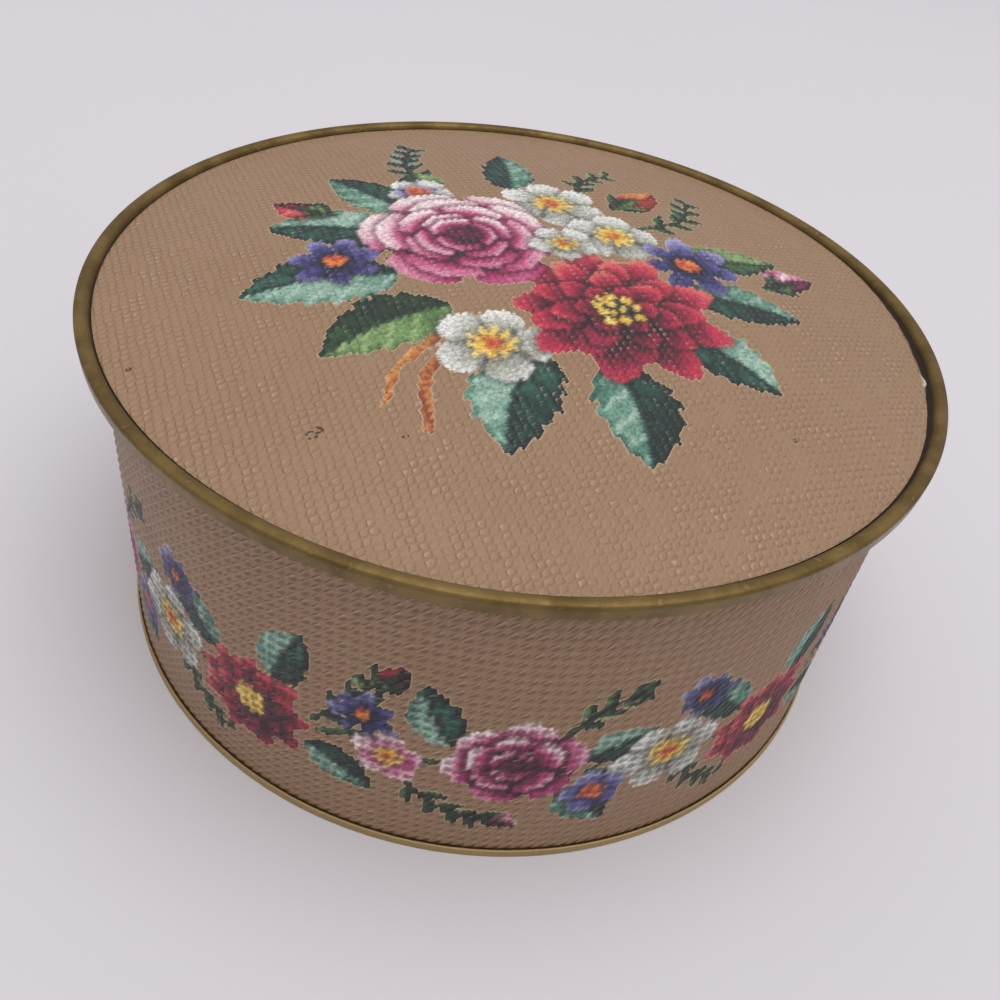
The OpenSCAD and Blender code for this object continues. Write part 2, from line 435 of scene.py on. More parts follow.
# One repeat of the wall's garland, in stitches from the base seam
GARLAND = (
    (spray, (
        ([(13, 13), (16.6, 17.4), (18.4, 21)], GREEN, 4, 2.6, 1.3),
        ([(21, 9), (24, 6), (27.4, 4.6)], GREEN, 4, 2.6, 1.2),
        ([(33, 17), (36, 20.4), (38.6, 21.6)], GREEN, 4, 2.4, 1.2),
        ([(44, 10), (46.4, 6.6), (49.6, 4.6)], GREEN, 4, 2.6, 1.2),
    )),
    (stem, (
        ([(14, 12), (18, 13.6), (22, 12), (25, 13)], 0.9, GREEN, 0.3, 0.2),
        ([(36, 12), (40, 10.6), (44, 12.4), (48, 12)], 0.9, GREEN, 0.3, 0.2),
    )),
    (leaf, (
        ((3.6, 14.6), (-1.6, 21.2), 4.8, TEAL, 5, 0.05, -1),
        ((9.6, 15.6), (12.4, 22.6), 5.0, TEAL, 5, 0.1, 1),
        ((12.6, 9.6), (18.6, 6.2), 4.6, TEAL, 5, 0.0, -1),
        ((24.6, 14.6), (22, 21.8), 4.8, TEAL, 5, 0.1, 1),
        ((34, 9.6), (38.4, 4.2), 4.6, TEAL, 5, 0.0, -1),
        ((35.4, 13.4), (41.2, 16.2), 4.4, TEAL, 5, 0.12, 1),
    )),
    (bud, (
        ((18.6, 19.6), (20.4, 23.4), 2.6, CRIMSON),
        ((27.6, 5.4), (31, 3.8), 2.6, ROSE),
    )),
    (anemone, (
        ((42.6, 12.4), 5.0, 0.2, 6),
        ((19.6, 11.6), 3.1, 0.2, 5, GOLDEN, ROSE[2:]),
    )),
    (cornflower, (
        ((17.4, 16), 3.0, 0.5),
        ((44.4, 19.2), 2.8, 0.1),
    )),
    (anemone, (((36.6, 8.6), 3.0, 0.6, 5, EMBER, BLUE[1:]),)),
    (peony, (((29.4, 13), 6.0, 0.3),)),
    (dahlia, (((7, 11), 6.2, 0.1),)),
)


# Wiring of shader and geometry nodes

class Wire:
    """A value in a node tree. Plain arithmetic on it adds Math nodes to the tree."""

    def __init__(self, w, socket):
        self.w, self.socket = w, socket

    def __add__(self, other):
        return self.w.maths("ADD", self, other)

    def __radd__(self, other):
        return self.w.maths("ADD", other, self)

    def __sub__(self, other):
        return self.w.maths("SUBTRACT", self, other)

    def __rsub__(self, other):
        return self.w.maths("SUBTRACT", other, self)

    def __mul__(self, other):
        return self.w.maths("MULTIPLY", self, other)

    def __truediv__(self, other):
        return self.w.maths("DIVIDE", self, other)

    def __rtruediv__(self, other):
        return self.w.maths("DIVIDE", other, self)

    def __mod__(self, other):
        return self.w.maths("FLOORED_MODULO", self, other)

    def __abs__(self):
        return self.w.maths("ABSOLUTE", self)


class Wiring:
    """Adds nodes to a tree and joins them up."""

    def __init__(self, tree):
        self.tree = tree

    def node(self, kind, feeds=(), **settings):
        """A new node with its settings and inputs."""
        node = self.tree.nodes.new(kind)
        for name, value in settings.items():
            setattr(node, name, value)
        self.feed_all(node, feeds)
        return node

    def add(self, kind, feeds=(), outlet=0, **settings):
        """One output of a new node."""
        return Wire(self, self.node(kind, feeds, **settings).outputs[outlet])

    def feed(self, socket, value):
        if isinstance(value, Wire):
            self.tree.links.new(value.socket, socket)
        else:
            socket.default_value = value

    def feed_all(self, node, feeds):
        for name, value in dict(feeds).items():
            self.feed(node.inputs[name], value)

    def outlets(self, node):
        return {socket.name: Wire(self, socket) for socket in node.outputs}

    def group(self, tree, feeds):
        return self.outlets(self.node("ShaderNodeGroup", feeds, node_tree=tree))

    def parts(self, vector):
        """The three numbers of a vector."""
        return list(self.outlets(self.node("ShaderNodeSeparateXYZ", {0: vector})).values())

    def maths(self, operation, *values):
        return self.add("ShaderNodeMath", enumerate(values), operation=operation)

    def hypot(self, one, other):
        return self.maths("SQRT", one * one + other * other)

    def span(self, value, low, high, start=0.0, end=1.0):
        """A value carried smoothly from low..high to start..end, and held there."""
        return self.add("ShaderNodeMapRange", {
            "Value": value, "From Min": low, "From Max": high, "To Min": start, "To Max": end},
            interpolation_type="SMOOTHSTEP")

    def mix(self, share, first, second, blend="MIX"):
        """Two colours, each a wire or plain red, green and blue, mixed by a share."""
        pair = [value if isinstance(value, Wire) else (*value[:3], 1.0) for value in (first, second)]
        # The node's inlets 0, 6 and 7 and its outlet 2 are the ones for colours
        return self.add("ShaderNodeMix", zip((0, 6, 7), (share, *pair)), 2, data_type="RGBA", blend_type=blend)

    def noise(self, place, scale, detail=3.0, roughness=0.55, outlet=0):
        return self.add("ShaderNodeTexNoise", {
            "Vector": place, "Scale": scale, "Detail": detail, "Roughness": roughness}, outlet)

    def bump(self, height, distance, strength=1.0):
        return self.add("ShaderNodeBump", {"Height": height, "Distance": distance, "Strength": strength})


def made_once(name, kind, inlets, outlets, wire_up):
    """The node group of this name. It is made the first time, and wire_up(w, inputs, outputs) fills it."""
    if name not in bpy.data.node_groups:
        tree = bpy.data.node_groups.new(name, kind)
        for side, sockets in (("INPUT", inlets), ("OUTPUT", outlets)):
            for label, socket in sockets.items():
                tree.interface.new_socket(label, in_out=side, socket_type="NodeSocket" + socket)
        w = Wiring(tree)
        out = w.node("NodeGroupOutput")
        w.feed_all(out, wire_up(w, w.outlets(w.node("NodeGroupInput"))))
    return bpy.data.node_groups[name]


def raised_stitch(w, across, up, crest, sharp, split, seed):
    """Slanted stitches, each in two bumps where split is 1.

    Gives their height, a number for each stitch, and the place along and over its bump.
    """
    beside, ahead = up - across, up + across
    row = w.maths("ROUND", beside)
    over = beside - row + 0.5
    along = (ahead - row) % 2.0 - 1.0
    centre = w.maths("ROUND", ahead - along)
    place = w.add("ShaderNodeCombineXYZ", {"X": row, "Y": centre, "Z": seed})
    pick = w.add("ShaderNodeTexWhiteNoise", {"Vector": place}, noise_dimensions="3D")
    bumps = split + 1.0
    along = (along * bumps + bumps) % 2.0 - 1.0
    rise = w.span(over, 0.0, crest)
    fall = w.span(over, crest, 1.0, 1.0, 0.0)
    ends = w.span(abs(along), 0.35, 1.0, 1.0, w.span(sharp, 0.6, 1.7, 0.15, 0.5))
    height = w.maths("POWER", w.maths("MINIMUM", rise, fall) * ends, sharp)
    return height * (0.65 + pick * 0.35), pick, along, over


def emboss_tree():
    """Geometry tree: presses the grooves between the stitches into a sheet, along its points' own direction."""
    def wire_up(w, given):
        stitch, press = (w.add("GeometryNodeInputNamedAttribute", {"Name": name}, data_type="FLOAT_VECTOR")
                         for name in ("stitch", "press"))
        height, _, _, _ = raised_stitch(
            w, *w.parts(stitch)[:2], given["Crest"], given["Sharp"], given["Split"], given["Seed"])
        push = w.add("ShaderNodeVectorMath", {0: press, "Scale": (1.0 - height) * given["Depth"]},
                     operation="SCALE")
        pressed_in = w.add("GeometryNodeSetPosition", {"Geometry": given["Sheet"], "Offset": push})
        smooth = w.add("GeometryNodeSetShadeSmooth", {"Geometry": pressed_in})
        real = w.add("GeometryNodeRealizeInstances", {"Geometry": smooth})
        return {0: w.add("GeometryNodeSetMaterial", {"Geometry": real, "Material": given["Finish"]})}

    inlets = {"Sheet": "Geometry", **dict.fromkeys(("Depth", "Crest", "Sharp", "Split", "Seed"), "Float"),
              "Finish": "Material"}
    return made_once("Stitch emboss", "GeometryNodeTree", inlets, {"Sheet": "Geometry"}, wire_up)


def pressed(piece, finish, depth, sharp, split=0.0):
    """Runs the emboss tree on a piece and leaves the result as its plain mesh."""
    tree = emboss_tree()
    modifier = piece.modifiers.new("Stitch emboss", "NODES")
    modifier.node_group = tree
    given = {"Depth": depth, "Crest": sizes().stitch_crest, "Sharp": sharp, "Split": split,
             "Seed": STITCH_SEED, "Finish": finish}
    for item in tree.interface.items_tree:
        if item.in_out == "INPUT" and item.name in given:
            modifier[item.identifier] = given[item.name]
    graph = bpy.context.evaluated_depsgraph_get()
    done = bpy.data.meshes.new_from_object(
        piece.evaluated_get(graph), preserve_all_data_layers=True, depsgraph=graph)
    piece.modifiers.remove(modifier)
    plain = piece.data
    piece.data = done
    bpy.data.meshes.remove(plain)
    for label in ("stitch", "press"):
        done.attributes.remove(done.attributes[label])
    done.name = piece.name


# Materials

def stitch_finish_group():
    """Shader group: the emboss at full fineness with its plies, and masks for painted shade in its creases and
    hollows and for painted glints.
    """
    def wire_up(w, given):
        place = w.add("ShaderNodeCombineXYZ", {"X": given["Across"], "Y": given["Up"], "Z": given["Seed"]})
        wobble = w.parts(w.noise(place, 0.9, 2.0, 0.5, "Color"))
        stray = given["Split"] * 0.25 + 0.25
        across = given["Across"] + (wobble[0] - 0.5) * stray
        up = given["Up"] + (wobble[1] - 0.5) * stray
        rise, pick, along, over = raised_stitch(
            w, across, up, given["Crest"], given["Sharp"], given["Split"], given["Seed"])
        plies = w.maths("SINE", over * 13.0) * 0.035
        rough = w.noise(place, 2.6, 4.0, 0.62)

        # Masks for painted shade and glints, from the place in the bump: rings round its middle, and a hollow
        # turned 22 degrees off its slant
        off = over - 0.45
        aside, above = along - off, along + off
        lean = along * 0.8 + off
        from_middle = w.hypot(along, off * 1.9)
        foot = w.span(lean, -0.55, -0.05, 1.0, 0.0) * w.span(pick, 0.0, 0.7, 0.2, 1.0)
        head = w.span(lean, 0.0, 0.4) * w.span(pick, 0.3, 0.9)
        reach = w.hypot(aside * 0.93 + above * 0.37, (above * 0.93 - aside * 0.37) * 1.2)
        return {
            "Height": rise + (plies + rough * 0.26),
            "Rise": rise,
            "Crease": w.span(abs(from_middle - 0.9), 0.03, 0.4, 1.0, 0.0) * foot,
            "Hollow": w.span(reach, 0.45, 1.12, 1.0, 0.0) * w.span(pick, 0.0, 1.0, 0.75, 1.0),
            "Glint": w.span(abs(from_middle - 0.45), 0.05, 0.4, 1.0, 0.0) * head,
            "Rough": rough}

    return made_once(
        "Stitch emboss finish", "ShaderNodeTree",
        dict.fromkeys(("Across", "Up", "Crest", "Sharp", "Split", "Seed"), "Float"),
        dict.fromkeys(("Height", "Rise", "Crease", "Hollow", "Glint", "Rough"), "Float"), wire_up)


def age_group():
    """Shader group: uneven lacquer, as tone, rub and small flecks, from the place on the piece."""
    def wire_up(w, given):
        place = given["Place"]
        cells = w.add("ShaderNodeTexVoronoi", {"Vector": place, "Scale": 1.0 / given["Fleck size"]})
        worn = w.noise(place, 0.16 / given["Fleck size"], 2.0, 0.5)
        return {
            "Tone": w.noise(place, 1.0 / given["Patch size"], 4.0, 0.6),
            "Rub": w.noise(place, 4.0 / given["Patch size"], 5.0, 0.65),
            "Fleck": w.span(cells, 0.08, 0.2, 1.0, 0.0) * w.span(worn, 0.74 - given["Flecks"], 0.8)}

    inlets = {"Place": "Vector", **dict.fromkeys(("Patch size", "Fleck size", "Flecks"), "Float")}
    return made_once("Aged lacquer", "ShaderNodeTree", inlets,
                     dict.fromkeys(("Tone", "Rub", "Fleck"), "Float"), wire_up)


def stitched(w, place_stitches, sharp, split=0.0):
    """The stitch masks and height at a place given in stitches across and up."""
    across, up = place_stitches
    return w.group(stitch_finish_group(), {
        "Across": across, "Up": up, "Crest": sizes().stitch_crest, "Sharp": sharp, "Split": split,
        "Seed": STITCH_SEED})


def aged(w, place, patch_size, fleck_size, flecks):
    return w.group(age_group(), {
        "Place": place, "Patch size": patch_size, "Fleck size": fleck_size, "Flecks": flecks})


def new_finish(name):
    """An empty material with its wiring, its shader and the piece's own coordinates."""
    finish = bpy.data.materials.new(name)
    finish.use_nodes = True
    finish.node_tree.nodes.clear()
    w = Wiring(finish.node_tree)
    shader = w.node("ShaderNodeBsdfPrincipled")
    w.node("ShaderNodeOutputMaterial", {0: Wire(w, shader.outputs[0])})
    return finish, w, shader, w.add("ShaderNodeTexCoord", outlet="Object")


def round_the_wall(w, place):
    """Stitches across and up at a place on the wall."""
    x, y, z = w.parts(place)
    across = w.maths("ARCTAN2", y, x) * (sizes().stitches_round / FULL_TURN)
    return across, (z - EMBOSS_FOOT) / sizes().wall_stitch


def over_the_lid(w, place):
    """Stitches across and up at a place on the lid panel, whose sheet lies a quarter turn round."""
    x, y, _ = w.parts(place)
    cos, sin = math.cos(sizes().lid_turn), math.sin(sizes().lid_turn)
    return (y * cos - x * sin) / sizes().lid_stitch, (x * cos + y * sin) / -sizes().lid_stitch


def printed_tinplate(name, stitches, sharp, split, hollow_shade, crease_shade, relief, ridge_highlight, chips=()):
    """Tan lacquer with the print over it.

    Painted shade darkens the hollows and the creases, each by its own share, a painted highlight pales the
    raised edges, the bump is relief deep, and at chips, given as places with their radii, the print is gone at a
    ragged ring.
    """
    finish, w, shader, place = new_finish(name)
    tin = colours()
    stitch = stitched(w, stitches(w, place), sharp, split)
    age = aged(w, place, 30 * MM, 2.2 * MM, 0.1)
    painted = w.outlets(w.node("ShaderNodeAttribute", attribute_name="print"))
    blotch = w.noise(place, 1 / (0.9 * MM), 3.0, 0.6)
    # Painted shade in the hollows and creases of the emboss, over the ground and the print alike
    dark = w.maths("MAXIMUM", stitch["Hollow"] * hollow_shade, stitch["Crease"] * crease_shade)
    edge = painted["Alpha"] + (stitch["Rise"] - 0.5) * 0.14 + (stitch["Rough"] - 0.5) * 0.2
    ring = w.span(edge, 0.12, 0.4) * 0.5

    ground = w.mix(w.span(age["Tone"], 0.35, 0.65, 0.0, 0.3), tin.ground, GROUND_WARM)
    ground = w.mix(w.span(stitch["Rough"], 0.4, 0.7, 0.0, 0.16), ground, GROUND_PALE)
    ground = w.mix(ring, ground, tin.halo)
    ground = w.mix(dark, ground, tin.groove_shade)
    # Painted highlight along the raised edges of the wall's stitches
    ground = w.mix(w.span(stitch["Rise"], 0.25, 0.7) * ridge_highlight, ground, RIDGE_HIGHLIGHT)

    grey = w.span(blotch * 0.5 + stitch["Rough"] * 0.5, 0.36, 0.64, 0.7, 1.3)
    ink = w.mix(1.0, painted["Color"], w.add("ShaderNodeCombineColor", {n: grey for n in range(3)}), "MULTIPLY")
    ink = w.mix(dark, ink, INK_SHADOW)
    tone = w.mix(w.span(edge, 0.44, 0.54), ground, ink)
    rubbed = w.span(stitch["Rise"], 0.72, 0.95) * w.span(age["Rub"], 0.5, 0.68)
    tone = w.mix(rubbed * 0.22, tone, RUBBED)
    tone = w.mix(stitch["Glint"] * w.span(age["Rub"], 0.35, 0.65, 0.06, 0.26), tone, GLINT)
    tone = w.mix(age["Fleck"] * 0.7, tone, PALE_FLECK)

    x, y, _ = w.parts(place)
    flat = w.add("ShaderNodeCombineXYZ", {"X": x, "Y": y, "Z": 0.0})
    ragged = w.noise(place, 700.0, 3.0) * (1.1 * MM)
    for centre, size in chips:
        apart = w.add("ShaderNodeVectorMath", {0: flat, 1: (*centre, 0.0)}, "Value", operation="DISTANCE")
        apart = abs(apart + ragged - (size + 0.55 * MM))
        rim = w.span(apart, 0.14 * MM, 0.4 * MM, 1.0, 0.0) * w.span(blotch, 0.46, 0.54)
        tone = w.mix(rim, tone, tin.rust)

    w.feed_all(shader, {
        "Base Color": tone,
        "Roughness": w.span(age["Rub"], 0.3, 0.7, 0.36, 0.5) + (1.0 - stitch["Rise"]) * 0.12,
        "Metallic": 0.0, "Coat Weight": 0.07, "Coat Roughness": 0.34,
        "Normal": w.bump(stitch["Height"], relief)})
    return finish


def gold_lacquer(name, shaded_creases=(), skirt_top=0.0, painted_bounce_light=0.0):
    """Gold lacquer over tinplate, dulled in patches.

    It is glossier on the outer face below skirt_top, paler where painted light from the floor is added, and
    darkened by painted shade at creases, given as their distance from the axis, their height and their width.
    """
    finish, w, shader, place = new_finish(name)
    tin = colours()
    age = aged(w, place, 9 * MM, 1.4 * MM, 0.1)
    gold = w.mix(w.span(age["Tone"], 0.34, 0.66), tin.gold, tin.gold_dark)
    # Rubbed patches, plus painted light from the floor where a share of it is given
    gold = w.mix(w.span(age["Rub"], 0.56, 0.75, painted_bounce_light, 0.35 + painted_bounce_light), gold, RUBBED_AND_LIT_GOLD)
    x, y, z = w.parts(place)
    across = w.hypot(x, y)
    dirt_and_shade = age["Fleck"] * 0.8
    uneven = (age["Rub"] - 0.5) * (0.5 * MM)
    # Painted shade in each crease, added to the dark flecks of dirt
    for reach, height, size in shaded_creases:
        apart = w.hypot(across - reach, z - height)
        dirt_and_shade = w.maths("MAXIMUM", dirt_and_shade, w.span(apart + uneven, size * 0.6, size * 1.3, 0.96, 0.0))
    below = (w.span(z, skirt_top - 0.2 * MM, skirt_top + 0.2 * MM, 1.0, 0.0)
             * w.span(across, 97.6 * MM, 98.2 * MM))
    w.feed_all(shader, {
        "Base Color": w.mix(dirt_and_shade, gold, tin.grime_and_shade),
        "Metallic": (1.0 - dirt_and_shade) * 0.72,
        "Roughness": w.span(age["Rub"], 0.3, 0.7, 0.5, 0.62) - below * 0.18 + dirt_and_shade * 0.4,
        "Coat Weight": below * 0.2, "Coat Roughness": 0.2,
        "Normal": w.bump(w.noise(place, 1 / (0.5 * MM), 3.0, 0.6), 0.02 * MM, 0.6)})
    return finish


def plain_tinplate(name, stitches=None):
    """Bright tinplate under thin clear lacquer, with the back of the emboss where the sheet has it."""
    finish, w, shader, place = new_finish(name)
    tin = colours()
    age = aged(w, place, 20 * MM, 2.0 * MM, 0.08)
    plate = w.mix(w.span(age["Tone"], 0.35, 0.65, 0.0, 0.6), tin.plate, DULL_PLATE)
    plate = w.mix(age["Fleck"] * 0.7, plate, tin.rust)
    if stitches:
        height = stitched(w, stitches(w, place), sizes().wall_sharp)["Height"]
    else:
        height = w.noise(place, 1 / (0.7 * MM), 3.0, 0.6) * 0.25
    w.feed_all(shader, {
        "Base Color": plate, "Metallic": 1.0, "Roughness": w.span(age["Rub"], 0.3, 0.7, 0.28, 0.44),
        "Normal": w.bump(height, 0.1 * MM, 0.8)})
    return finish


# Meshes

def new_piece(name, points, faces):
    mesh = bpy.data.meshes.new(name)
    mesh.from_pydata(points, [], faces)
    mesh.validate()
    mesh.update()
    piece = bpy.data.objects.new(name, mesh)
    bpy.context.scene.collection.objects.link(piece)
    return piece


def set_on_points(piece, label, values):
    layer = piece.data.attributes.new(label, "FLOAT_VECTOR", "POINT")
    layer.data.foreach_set("vector", np.asarray(values, np.float32).ravel())


def loft(loops):
    """Points and faces of a skin over loops that go once round, the last loop joined to the first."""
    count, rows = len(loops[0]), len(loops)
    faces = []
    here = np.arange(count)
    after = (here + 1) % count
    for row in range(rows):
        low, high = row * count, (row + 1) % rows * count
        faces += np.stack([low + here, low + after, high + after, high + here], 1).tolist()
    return np.concatenate(loops), faces


def softened(corners, steps):
    """A path of (reach, height, rounding) corners in millimetres, with each corner rounded off, in metres."""
    path = []
    count = len(corners)
    for n, (r, z, rounding) in enumerate(corners):
        here = np.array([r, z])
        if rounding <= 0:
            path.append(here)
            continue
        before = np.array(corners[n - 1][:2]) - here
        after = np.array(corners[(n + 1) % count][:2]) - here
        size_b, size_a = np.linalg.norm(before), np.linalg.norm(after)
        cut = min(rounding, size_b * 0.49, size_a * 0.49)
        start, end = here + before / size_b * cut, here + after / size_a * cut
        for t in np.linspace(0, 1, steps):
            path.append((1 - t) ** 2 * start + 2 * t * (1 - t) * here + t ** 2 * end)
    return np.array(path) * MM


def folded_sheet(path):
    """The closed section of a sheet that follows an open path, half its thickness to either side of it."""
    way = np.gradient(path, axis=0)
    way /= np.maximum(np.linalg.norm(way, axis=1, keepdims=True), 1e-9)
    side = np.stack([way[:, 1], -way[:, 0]], 1) * SHEET / 2
    return np.concatenate([path + side, (path - side)[::-1]])


def turned(name, sections, finish, steps=360):
    """A piece turned round the upright axis from closed sections of (reach, height)."""
    points, faces = [], []
    bearing = np.arange(steps) * FULL_TURN / steps
    for section in sections:
        r, z = section.T
        if np.sum(r * np.roll(z, -1) - np.roll(r, -1) * z) < 0:
            section = section[::-1]
        more, quads = loft([around(r, z, bearing) for r, z in section])
        start = sum(len(p) for p in points)
        points.append(more)
        faces += [[i + start for i in quad] for quad in quads]
    piece = new_piece(name, np.concatenate(points).tolist(), faces)
    close_poles(piece)
    piece.data.materials.append(finish)
    return piece


def around(reach, height, bearing):
    """Points at bearings round the upright axis."""
    return np.stack([reach * np.cos(bearing), reach * np.sin(bearing), 0 * bearing + height], 1)


def close_poles(piece):
    """Closes the poles, then sets smooth faces with the hard folds kept."""
    work = bmesh.new()
    work.from_mesh(piece.data)
    bmesh.ops.remove_doubles(work, verts=work.verts, dist=1e-7)
    bmesh.ops.dissolve_degenerate(work, dist=1e-8, edges=work.edges)
    work.to_mesh(piece.data)
    work.free()
    piece.data.shade_smooth()
    piece.data.set_sharp_from_angle(angle=math.radians(50))
    piece.data.update()


def colour_points(piece, rgba):
    """Stores the print on the piece: each corner takes the colour of its own point."""
    mesh = piece.data
    layer = mesh.attributes.new("print", "FLOAT_COLOR", "CORNER")
    corner = np.empty(len(mesh.loops), np.int32)
    mesh.loops.foreach_get("vertex_index", corner)
    layer.data.foreach_set("color", rgba[corner].astype(np.float32).ravel())


def print_colours(chart):
    """The chart's colours and cover, spread past the edge of each motif so that the finish can trim them."""
    inked = chart.inked.astype(float)[..., None]
    rgb, known = chart.rgb * inked, inked
    for _ in range(3):
        spread, count = neighbours(rgb * known), neighbours(known)
        rgb = np.where(known > 0, rgb, spread / np.maximum(count, 1e-6))
        known = np.maximum(known, (count > 0).astype(float))
    rgb = np.where(inked > 0, 0.8 * rgb + 0.2 * neighbours(rgb) / 4, rgb)
    cover = (6 * inked + neighbours(inked)) / 10
    return np.concatenate([rgb, cover], 2)


# The body wall

def signed_turn(bearing, centre=0.0):
    """A bearing as an angle of -pi to pi from a centre."""
    return (bearing - centre + math.pi) % FULL_TURN - math.pi


def wall_outline(bearing):
    """The printed face's distance from the axis, true but for the lap at the back, and its way from that lap."""
    past_seam = signed_turn(bearing, BACK) * WALL_REACH
    lap = np.where((past_seam >= 0) & (past_seam < LAP), 1 - past_seam / LAP, 0.0)
    return WALL_REACH - 0.22 * MM * lap, np.abs(past_seam - 2.5 * MM)


class WallSheet:
    """Rings of points round the wall, each point with the way it is pressed and its place in stitches."""

    def __init__(self, columns_to_stitch):
        self.columns = sizes().stitches_round * columns_to_stitch
        self.bearing = signed_turn(np.arange(self.columns) * FULL_TURN / self.columns)
        self.across = self.bearing * sizes().stitches_round / FULL_TURN
        self.way = around(1, 0, self.bearing)
        self.rings, self.presses, self.stitches = [], [], []

    def ring(self, reach, height, press=0.0, up=0.0):
        self.rings.append(self.way * np.reshape(reach, (-1, 1)) + np.array([0, 0, height]))
        self.presses.append(-self.way * np.reshape(press, (-1, 1)))
        self.stitches.append(np.stack([self.across, np.full(self.columns, up), 0 * self.across], 1))

    def piece(self, name):
        points, faces = loft(self.rings)
        piece = new_piece(name, points.tolist(), faces)
        set_on_points(piece, "press", np.concatenate(self.presses))
        set_on_points(piece, "stitch", np.concatenate(self.stitches))
        return piece


def build_wall():
    """The printed face of the wall with its rolled edge, and the plain face inside it."""
    size = sizes()
    sheet = WallSheet(4)
    curl = 1.2 * MM
    fine = 3
    rise = size.wall_stitch / fine
    rows = int((WALL_TOP - curl - EMBOSS_FOOT) / rise) + 1
    outline, from_lap = wall_outline(sheet.bearing)
    flat = np.clip((from_lap - 2.6 * MM) / (0.8 * MM), 0, 1)
    for row in range(rows):
        z = EMBOSS_FOOT + row * rise
        sheet.ring(outline, z, min(1.0, max(0.0, (WALL_TOP - curl - z) / MM)) * flat, row / fine)
    for radius, turns in ((curl, (30, 60, 90, 135, 190, 255)), (curl - SHEET, (255, 130))):
        for turn in np.radians(turns):
            sheet.ring(WALL_REACH - curl + radius * math.cos(turn), WALL_TOP - curl + radius * math.sin(turn))
    for z in (WALL_TOP - curl, EMBOSS_FOOT):
        sheet.ring(WALL_REACH - 0.35 * MM, z)
    piece = sheet.piece("wall_print")

    chart = Chart(sheet.across - GARLAND_START, np.arange(rows) / fine, GARLAND_REPEAT)
    paint(chart, GARLAND)
    rgba = print_colours(chart)
    rgba[:, np.abs(signed_turn(sheet.bearing, BACK)) * WALL_REACH < 1.2 * MM] = (*RAW_EDGE, 1.0)
    hidden = np.zeros(((len(sheet.rings) - rows) * sheet.columns, 4))
    colour_points(piece, np.concatenate([rgba.reshape(-1, 4), hidden]))
    finish = printed_tinplate(
        "Printed tinplate, wall", round_the_wall, size.wall_sharp, split=0.0,
        hollow_shade=0.6, crease_shade=0.0, relief=0.42 * MM, ridge_highlight=0.3)
    pressed(piece, finish, size.wall_emboss, size.wall_sharp)
    keep(piece, "tin", "printed_tinplate", "body_wall")
    build_wall_inside()


def build_wall_inside():
    """The face of the wall that is seen inside the tin: the back of the emboss, with the lap at the back."""
    size = sizes()
    sheet = WallSheet(3)
    reach = WALL_REACH - 0.42 * MM
    low, high = 2.2 * MM, WALL_TOP - 1.3 * MM
    rows = int((high - low) / (size.wall_stitch / 3))
    from_seam = np.abs(signed_turn(sheet.bearing, BACK) * reach)
    lap = (from_seam < LAP / 2) * SHEET
    embossed = 0.8 * (from_seam > LAP / 2 + 0.4 * MM)
    for z in np.linspace(high, low, rows):
        sheet.ring(reach - lap, z, embossed, (z - EMBOSS_FOOT) / size.wall_stitch)
    for z in (low, high):
        sheet.ring(reach + 0.1 * MM, z)
    piece = sheet.piece("wall_inside")
    finish = plain_tinplate("Plain tinplate, wall", round_the_wall)
    pressed(piece, finish, size.wall_emboss, size.wall_sharp)
    keep(piece, "tin", "plain_tinplate", "body_wall")


# The lid panel

def panel_edge(bearing):
    """How far the panel reaches at a true bearing: short of its rim on the right, where a gap shows."""
    wide = np.exp(-(signed_turn(bearing, math.radians(3)) / math.radians(23)) ** 2)
    worn = 0.06 * np.sin(bearing * 61) + 0.05 * np.sin(bearing * 23 + 1) + 0.04 * np.sin(bearing * 137)
    reach = panel_box[1][0] - 0.05 * MM - (sizes().widest_gap - 0.3 * MM) * wide * (1 + worn)
    tongue = np.exp(-(signed_turn(bearing, math.radians(-5.6)) / math.radians(1.3)) ** 2)
    return np.minimum(reach + 0.7 * MM * tongue, panel_box[1][0]), tongue


def dome_height(reach, lift=0.0):
    """Height of the domed panel's upper face at a distance from the middle."""
    edge = panel_box[0][2]
    rise = panel_box[1][2] - edge - SHEET
    sphere = (DOME_RIM * DOME_RIM + rise * rise) / (2 * rise)
    return edge + rise - sphere + np.sqrt((sphere + SHEET + lift) ** 2 - np.minimum(reach, DOME_RIM) ** 2)


